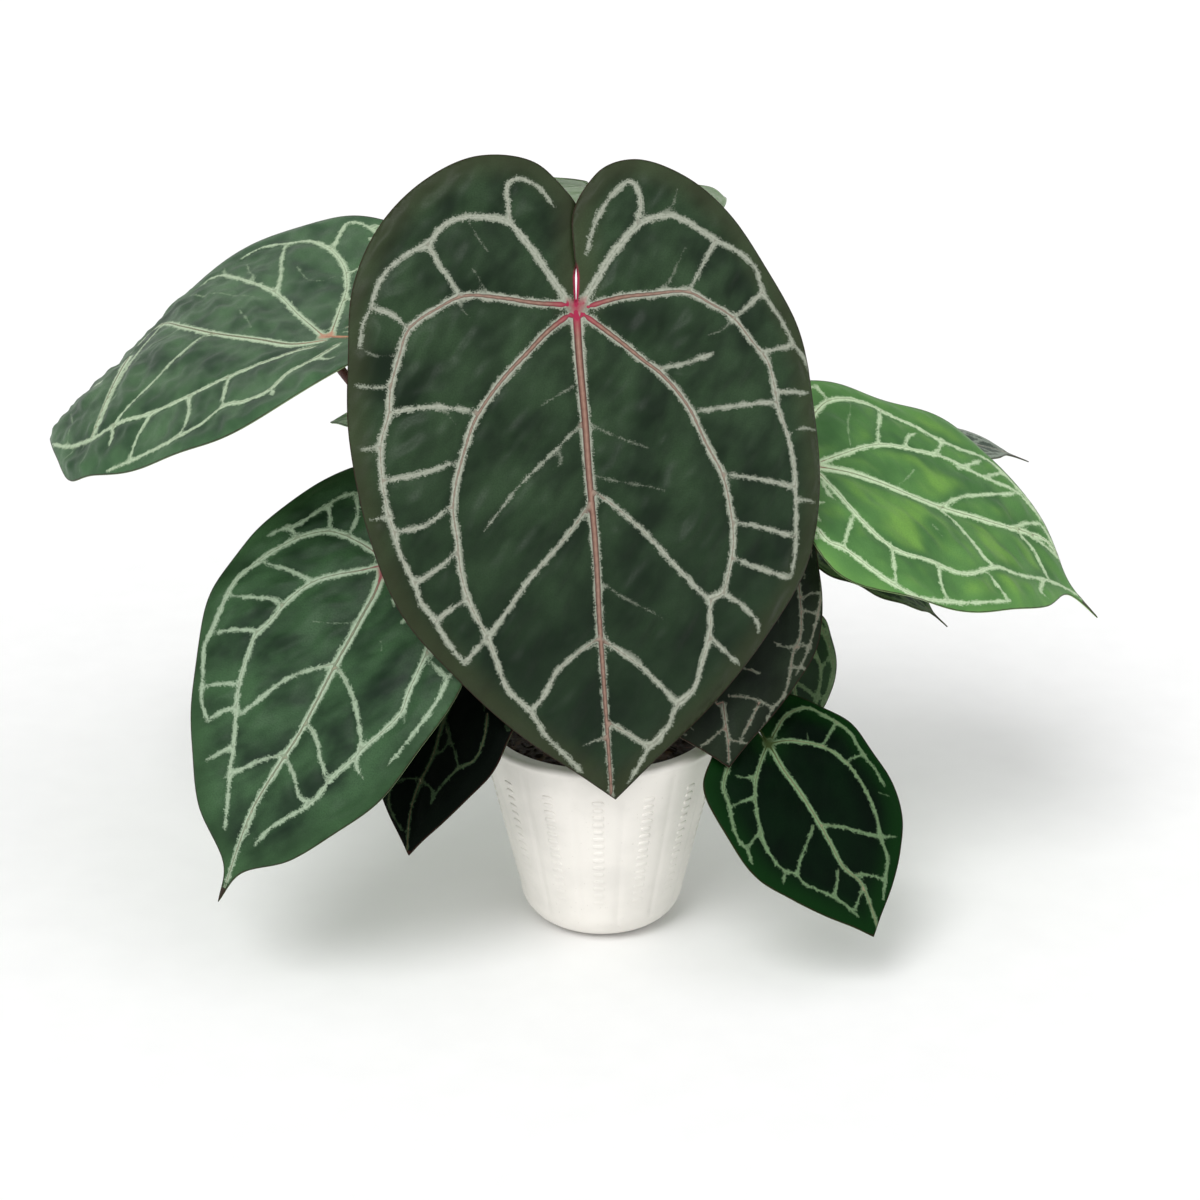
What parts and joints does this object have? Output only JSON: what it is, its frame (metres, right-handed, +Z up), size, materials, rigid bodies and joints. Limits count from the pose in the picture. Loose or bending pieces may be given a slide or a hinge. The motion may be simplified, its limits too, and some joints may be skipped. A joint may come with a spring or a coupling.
{
  "type": "potted anthurium hybrid house plant",
  "caption": "Velvet-leaved anthurium hybrid with heart-shaped, pale-veined leaves in a tapered white ceramic planter pot.",
  "frame": {"origin": "on the floor, under the pot's axis, at the centre of the pot's foot", "axes": "+Z up along the pot's axis, -Y towards the viewer and the large front leaf, +X to the viewer's right"},
  "size_m": [0.6683, 0.3687, 0.4817],
  "materials": {
    "glazed_white": "matte",
    "bark_mix": "matte",
    "crown_sheath": "matte",
    "leaf_stalk": "satin",
    "leaf_front": "satin",
    "leaf_upper_left": "satin",
    "leaf_low_left": "satin",
    "leaf_under_left": "satin",
    "leaf_right": "satin",
    "leaf_behind_right": "satin",
    "leaf_low_right": "satin",
    "leaf_back_right": "satin",
    "leaf_under_right": "satin",
    "leaf_small_right": "satin",
    "leaf_top_back": "satin",
    "leaf_back_left": "satin"
  },
  "bodies": {
    "root": {"pot": "glazed_white", "soil": "bark_mix", "crown": "crown_sheath", "petiole_front": "leaf_stalk", "blade_front": "leaf_front", "petiole_upper_left": "leaf_stalk", "blade_upper_left": "leaf_upper_left", "petiole_low_left": "leaf_stalk", "blade_low_left": "leaf_low_left", "petiole_under_left": "leaf_stalk", "blade_under_left": "leaf_under_left", "petiole_right": "leaf_stalk", "blade_right": "leaf_right", "petiole_behind_right": "leaf_stalk", "blade_behind_right": "leaf_behind_right", "petiole_low_right": "leaf_stalk", "blade_low_right": "leaf_low_right", "petiole_back_right": "leaf_stalk", "blade_back_right": "leaf_back_right", "petiole_under_right": "leaf_stalk", "blade_under_right": "leaf_under_right", "petiole_small_right": "leaf_stalk", "blade_small_right": "leaf_small_right", "petiole_top_back": "leaf_stalk", "blade_top_back": "leaf_top_back", "petiole_back_left": "leaf_stalk", "blade_back_left": "leaf_back_left"}
  },
  "joints": []
}
